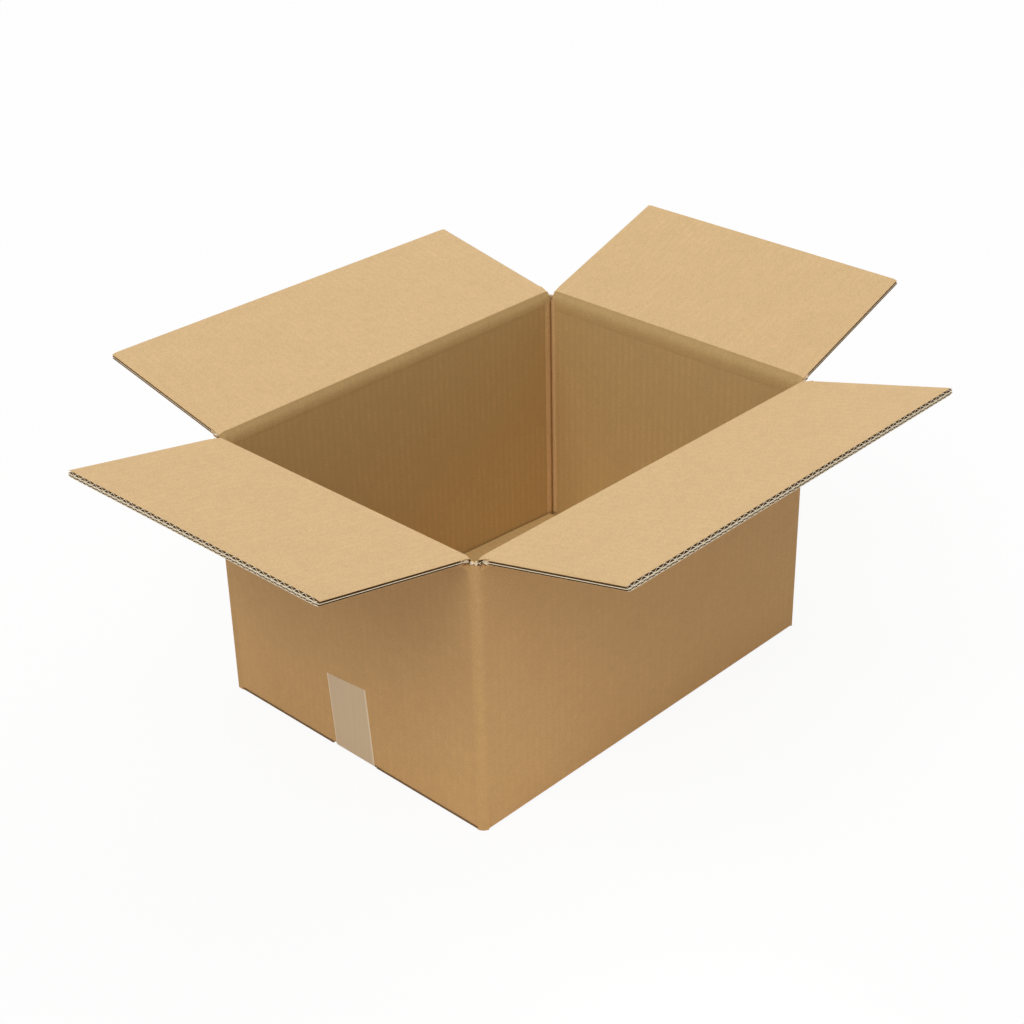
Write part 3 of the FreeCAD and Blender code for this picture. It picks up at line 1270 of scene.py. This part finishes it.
@dataclass(frozen=True)
class Studio:
    """Plain pale floor, soft light and the camera at the photograph's angle."""

    camera_at: tuple[float, float, float] = (-1.11447, -1.0743, 1.02928)
    azimuth: float = -45.78
    elevation: float = 29.36
    roll: float = -1.27
    focal_px: float = 1925.12
    image_px: float = 1024.0
    sensor: float = 36.0
    sky_strength: float = 0.31
    lamps: tuple[SoftLamp, ...] = (
        SoftLamp("key", (-0.5, -0.15, 0.85), 1.58, 50),
        SoftLamp("fill", (0.75, 0.25, 0.6), 0.88, 80),
    )
    low_lamp_at: tuple[float, float, float] = (-0.34, -0.5, 0.10)
    low_lamp_aim: tuple[float, float, float] = (-0.12, -0.162, 0.01)
    low_lamp_size: float = 0.18
    low_lamp_watts: float = 0.21
    floor_size: float = 40.0
    floor_colour: str = "#E8E8E8"
    floor_white: float = 0.95
    floor_glow: float = 0.92

    def build(self) -> None:
        """Sets up the whole studio."""
        self._camera()
        self._lamps()
        self._low_lamp()
        self._sky()
        self._floor()
        bpy.context.scene.view_settings.view_transform = "Standard"

    def _camera(self) -> None:
        """Places the camera as the photograph's own."""
        azimuth, elevation = math.radians(self.azimuth), math.radians(self.elevation)
        back = Vector((
            math.sin(azimuth) * math.cos(elevation),
            -math.cos(azimuth) * math.cos(elevation),
            math.sin(elevation),
        ))
        right = Vector((math.cos(azimuth), math.sin(azimuth), 0))
        up = back.cross(right)
        roll = math.radians(self.roll)
        rolled_right = right * math.cos(roll) + up * math.sin(roll)
        rolled_up = up * math.cos(roll) - right * math.sin(roll)
        data = bpy.data.cameras.new("camera")
        data.sensor_fit = "HORIZONTAL"
        data.sensor_width = self.sensor
        data.lens = self.focal_px / self.image_px * self.sensor
        camera = bpy.data.objects.new("camera", data)
        bpy.context.scene.collection.objects.link(camera)
        axes = Matrix((rolled_right, rolled_up, back)).transposed().to_4x4()
        camera.matrix_world = Matrix.Translation(self.camera_at) @ axes
        bpy.context.scene.camera = camera

    def _lamps(self) -> None:
        """Hangs the soft lamps."""
        for lamp in self.lamps:
            data = bpy.data.lights.new(lamp.name, "SUN")
            data.energy = lamp.level
            data.angle = math.radians(lamp.angle)
            sun = bpy.data.objects.new(lamp.name, data)
            sun.rotation_euler = Vector(lamp.towards).to_track_quat("Z", "Y").to_euler()
            bpy.context.scene.collection.objects.link(sun)

    def _low_lamp(self) -> None:
        """Stands a small soft lamp low before the front corner."""
        data = bpy.data.lights.new("low", "AREA")
        data.energy = self.low_lamp_watts
        data.size = self.low_lamp_size
        lamp = bpy.data.objects.new("low", data)
        lamp.location = self.low_lamp_at
        away = Vector(self.low_lamp_at) - Vector(self.low_lamp_aim)
        lamp.rotation_euler = away.to_track_quat("Z", "Y").to_euler()
        lamp.visible_camera = False
        bpy.context.scene.collection.objects.link(lamp)

    def _sky(self) -> None:
        """White to the camera and in reflections, a plain level on the object."""
        world = bpy.data.worlds.new("studio")
        bpy.context.scene.world = world
        world.use_nodes = True
        tree = world.node_tree
        tree.nodes.clear()
        rays = add_node(tree, "ShaderNodeLightPath")
        direct, glossy = rays.outputs["Is Camera Ray"], rays.outputs["Is Glossy Ray"]
        seen = calculate(tree, "MAXIMUM", direct, glossy)
        seen = calculate(tree, "MAXIMUM", seen, rays.outputs["Is Transmission Ray"])
        light = add_node(
            tree, "ShaderNodeBackground", values={"Color": (1, 1, 1, 1)},
            links={"Strength": map_range(tree, seen, target=(self.sky_strength, 1.0))},
        )
        add_node(tree, "ShaderNodeOutputWorld", links={"Surface": light.outputs[0]})

    def _floor(self) -> None:
        """Lays a pale floor that shows white and keeps a soft shadow."""
        nothing_selected()
        bpy.ops.mesh.primitive_plane_add(size=self.floor_size, location=(0, 0, 0))
        floor = bpy.context.object
        floor.name = "floor"
        material = new_material("pale_studio_floor")
        tree = material.node_tree
        rays = add_node(tree, "ShaderNodeLightPath")
        matt = add_node(
            tree, "ShaderNodeBsdfDiffuse", values={"Color": linear(self.floor_colour)}
        )
        white = add_node(
            tree, "ShaderNodeBsdfDiffuse", values={"Color": (*[self.floor_white] * 3, 1)}
        )
        glow = add_node(tree, "ShaderNodeEmission", values={"Color": (1, 1, 1, 1)})
        shown = add_node(
            tree, "ShaderNodeMixShader", values={0: self.floor_glow},
            links={1: white.outputs[0], 2: glow.outputs[0]},
        )
        direct, glossy = rays.outputs["Is Camera Ray"], rays.outputs["Is Glossy Ray"]
        mixed = add_node(
            tree, "ShaderNodeMixShader",
            links={
                0: calculate(tree, "MAXIMUM", direct, glossy),
                1: matt.outputs[0],
                2: shown.outputs[0],
            },
        )
        add_node(tree, "ShaderNodeOutputMaterial", links={"Surface": mixed.outputs[0]})
        floor.data.materials.append(material)


# The carton

# Cross-sections of a crease: millimetres inward of the outer face and above the crease
INNER_FOLD = [(3.1, 3.9), (3.9, 2.2), (4.6, 0.5), (5.2, -1.3), (5.65, -3.2), (5.95, -5.3)]
OUTER_FOLD = [(0.1, -6.0), (-0.03, -5.0), (-0.04, -3.4), (-0.05, -2.0), (-0.08, -1.0), (-0.2, -0.35)]
# The inner skin ends on the wall, is level there, and has a knee where its fold starts
INNER_WALL_DEPTH, INNER_WALL_TOP = 6.05, -7.5
INNER_WALL_END = (5.9, -0.8)
INNER_KNEE = ((-0.5, 0.12), (0.25, -0.25))
# On the flap, millimetres along it and through the board: the skins' lift, steps and ends
SKIN_LIFT = 0.05
INNER_STEPS = (0.75, 0.5, 0.25, 0.08)
INNER_FLAP_END = (1.2, -0.2)
OUTER_ON_FLAP = [(0.9, -0.04), (1.8, -0.04), (3.0, -0.04), (4.5, -0.04), (5.5, 0.1)]
OUTER_BEND_LOW, OUTER_BEND_HIGH = (0.0, -1.6), (2.2, 0.0)
# Cross-section of a ridge down an inside corner: millimetres from the corner and off the wall
RIDGE_ON_LONG_WALL = [
    (9.0, -0.08), (7.5, 0.1), (6.0, 0.5), (4.4, 0.9), (3.0, 0.9), (1.8, 0.4), (1.2, -0.4),
]
RIDGE_ON_SHORT_WALL = [
    (1.0, 0.2), (1.6, 1.0), (3.0, 1.5), (4.6, 1.5), (5.4, 0.9), (5.8, -0.1), (6.6, -0.1),
]
RIDGE_SINK, RIDGE_FOOT, RIDGE_SHORTFALL, RIDGE_PAPER = 0.7, 13.0, 3.0, 0.2
# Dark strips in the gap under the short walls' folds, painted shadow for the ends of the outer
# bottom flaps: their spans beside the tape, middle and size
FLAP_END_SPANS = ((-155.8, -27.6), (29.6, 155.8))
FLAP_END_AT, FLAP_END_LEVEL, FLAP_END_DEPTH, FLAP_END_HEIGHT = 216.6, 1.65, 1.8, 3.1
# Torn fibres of a slot: how many, inset from the faces, run along each wall, scatter, levels, size
SLOT_FLAKES, SLOT_INSET, SLOT_RUN, SLOT_SCATTER = 12, 1.6, (6.5, 7.0), 0.6
SLOT_LOW, SLOT_RISE, SLOT_FLAKE = 1.4, 2.6, 1.0


def corner_name(sign_x: int, sign_y: int) -> str:
    """Name of a corner by its sides along X and Y."""
    return f"{'right' if sign_x > 0 else 'left'}_{'back' if sign_y > 0 else 'front'}"


@dataclass
class OpenCarton:
    """The whole carton: walls, four flaps, the creases between them and the tape."""

    finishes: Finishes
    nodes: dict
    rises: dict[Side, float] = field(default_factory=lambda: {
        Side.LEFT: 10.9, Side.RIGHT: 19.4, Side.FRONT: 14.0, Side.BACK: 11.1,
    })

    def build(self) -> None:
        """Builds and dresses every piece."""
        self._dress_solids()
        for side, rise in self.rises.items():
            TopFlap(side, rise).build(self.finishes)
            self._crease(side, rise)
        for sign_x in (-1, 1):
            self._flap_ends(sign_x)
        for sign_x, sign_y in ((1, 1), (1, -1), (-1, -1)):
            self._ridge(sign_x, sign_y)
        for seed, (sign_x, sign_y) in enumerate(((1, 1), (1, -1), (-1, -1), (-1, 1)), 5):
            self._slot_fibres(sign_x, sign_y, seed)

    def _dress_solids(self) -> None:
        """Gives the solids that stay in view their materials."""
        for name, finish in (
            ("carton_body", self.finishes.walls),
            ("bottom_tape", self.finishes.tape),
        ):
            node = self.nodes[name]
            node.data.materials.clear()
            node.data.materials.append(finish)
            LOG.info("dressed %s", name)

    def _crease(self, side: Side, rise: float) -> None:
        """Builds the inner and outer skin of one crease.

        Args:
            side: Side of the box.
            rise: Angle of its flap above the level, in degrees.
        """
        root, made = side.root, self.finishes
        angle = math.radians(rise)
        out = (-math.cos(angle), math.sin(angle))
        through = (math.sin(angle), math.cos(angle))

        def on_flap(along: float, thick: float) -> tuple[float, float]:
            """A point of the cross-section by its place on the flap."""
            reach, up = root.start[0] + along, root.start[1] + thick
            return (
                root.hinge[0] + out[0] * reach + through[0] * up,
                root.hinge[1] + out[1] * reach + through[1] * up,
            )

        top, lead, foot = BOX.board + SKIN_LIFT, root.skin_lead, root.skin_foot
        knee = on_flap(0, top)
        sharp = knee[1] - (BAND_START - knee[0]) * math.tan(angle)
        inner = [on_flap(lead + INNER_FLAP_END[0], BOX.board + INNER_FLAP_END[1])]
        inner += [on_flap(lead * share, top) for share in (1, *INNER_STEPS)]
        inner += [(BAND_START + across, sharp + up) for across, up in INNER_KNEE] + INNER_FOLD
        inner += [(INNER_WALL_DEPTH, INNER_WALL_TOP), (INNER_WALL_DEPTH, foot)]
        inner += [(INNER_WALL_END[0], foot + INNER_WALL_END[1])]
        half = side.span / 2 - root.setback
        CreaseSkin(
            side, f"crease_{side.label}_inside", half, inner,
            root.bend_low, on_flap(*root.bend_high), True,
        ).build(
            made.inner_x if side.long_wall else made.inner_y,
            made.shade_band_x if side.long_wall else made.shade_band_y,
        )
        outer = OUTER_FOLD + [on_flap(*point) for point in OUTER_ON_FLAP]
        CreaseSkin(
            side, f"crease_{side.label}_outside", half, outer[::-1],
            OUTER_BEND_LOW, on_flap(*OUTER_BEND_HIGH), False,
        ).build(made.outer_x if side.long_wall else made.outer_y)

    def _flap_ends(self, sign_x: int) -> None:
        """Puts dark strips under one short wall, painted shadow for the ends of the outer bottom
        flaps.

        Args:
            sign_x: Side along X, -1 or 1.
        """
        ends = []
        for low, high in FLAP_END_SPANS:
            nothing_selected()
            bpy.ops.mesh.primitive_cube_add(
                size=1 * MM,
                location=(sign_x * FLAP_END_AT * MM, (low + high) / 2 * MM, FLAP_END_LEVEL * MM),
                scale=(FLAP_END_DEPTH, high - low, FLAP_END_HEIGHT),
            )
            bpy.ops.object.transform_apply(location=True, rotation=True, scale=True)
            ends.append(bpy.context.object)
        piece = join_pieces(ends, f"bottom_flap_ends_{'right' if sign_x > 0 else 'left'}")
        self._keep(piece, self.finishes.painted_shadow_edge)

    @staticmethod
    def _keep(piece: bpy.types.Object, finish: bpy.types.Material) -> None:
        """Dresses a piece and lets it ride on the carton."""
        piece.data.materials.append(finish)
        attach(piece, "carton")
        LOG.info("%s: %d faces", piece.name, len(piece.data.polygons))

    def _ridge(self, sign_x: int, sign_y: int) -> None:
        """Builds the crushed ridge down one inside corner.

        Args:
            sign_x: Side of the corner along X, -1 or 1.
            sign_y: Side of the corner along Y, -1 or 1.
        """
        half_x, half_y = (half - BOX.board for _, half in HALVES)
        corner = Vector((sign_x * half_x, sign_y * half_y, 0))
        path = [corner + Vector((-sign_x * d, -sign_y * p, 0)) for d, p in RIDGE_ON_LONG_WALL]
        path += [corner + Vector((sign_x * RIDGE_SINK, sign_y * RIDGE_SINK, 0))]
        path += [corner + Vector((-sign_x * p, -sign_y * d, 0)) for d, p in RIDGE_ON_SHORT_WALL]
        low, high = RIDGE_FOOT, BOX.crease - RIDGE_SHORTFALL
        nothing_selected()
        bpy.ops.mesh.primitive_plane_add(size=1, location=(0, 0, 0))
        ridge = bpy.context.object
        for vertex in ridge.data.vertices:
            place = path[0] if vertex.co.x < 0 else path[1]
            vertex.co = Vector((place.x, place.y, low if vertex.co.y < 0 else high)) * MM
        select_edges(lambda place: (place.xy - path[1].xy * MM).length < SAME_PLACE)
        extrude_along(path[1:])
        bpy.ops.mesh.select_all(action="SELECT")
        bpy.ops.mesh.normals_make_consistent(inside=False)
        bpy.ops.object.mode_set(mode="OBJECT")
        apply_modifier(ridge, "SOLIDIFY", thickness=RIDGE_PAPER * MM, offset=0)
        bpy.ops.object.shade_smooth_by_angle(angle=math.radians(RIDGE_BEND))
        name = f"corner_fold_{corner_name(sign_x, sign_y)}"
        self._keep(join_pieces([ridge], name), self.finishes.inner_x)

    def _slot_fibres(self, sign_x: int, sign_y: int, seed: int) -> None:
        """Leaves torn paper fibres at the end of one slot.

        Args:
            sign_x: Side of the corner along X, -1 or 1.
            sign_y: Side of the corner along Y, -1 or 1.
            seed: Start of the random draws.
        """
        draw = random.Random(seed)
        flakes = []
        for _ in range(SLOT_FLAKES):
            along = draw.uniform(0, 1)
            insets = [
                SLOT_INSET + run * share + draw.uniform(-SLOT_SCATTER, SLOT_SCATTER)
                for run, share in zip(SLOT_RUN, (along, 1 - along))
            ]
            flakes.append(paper_flake(
                draw,
                (
                    sign_x * (BOX.length / 2 - insets[0]),
                    sign_y * (BOX.width / 2 - insets[1]),
                    BOX.crease - SLOT_LOW + draw.uniform(0, SLOT_RISE),
                ),
                SLOT_FLAKE,
            ))
        fibres = join_pieces(flakes, f"slot_fibres_{corner_name(sign_x, sign_y)}")
        self._keep(fibres, self.finishes.cut_edge)


def main() -> None:
    """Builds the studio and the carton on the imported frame."""
    logging.basicConfig(level=logging.INFO, format="%(name)s: %(message)s")
    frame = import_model()
    nothing_selected()
    Studio().build()
    OpenCarton(Finishes(), frame["nodes"]).build()
    nothing_selected()


if __name__ == "__main__":
    main()
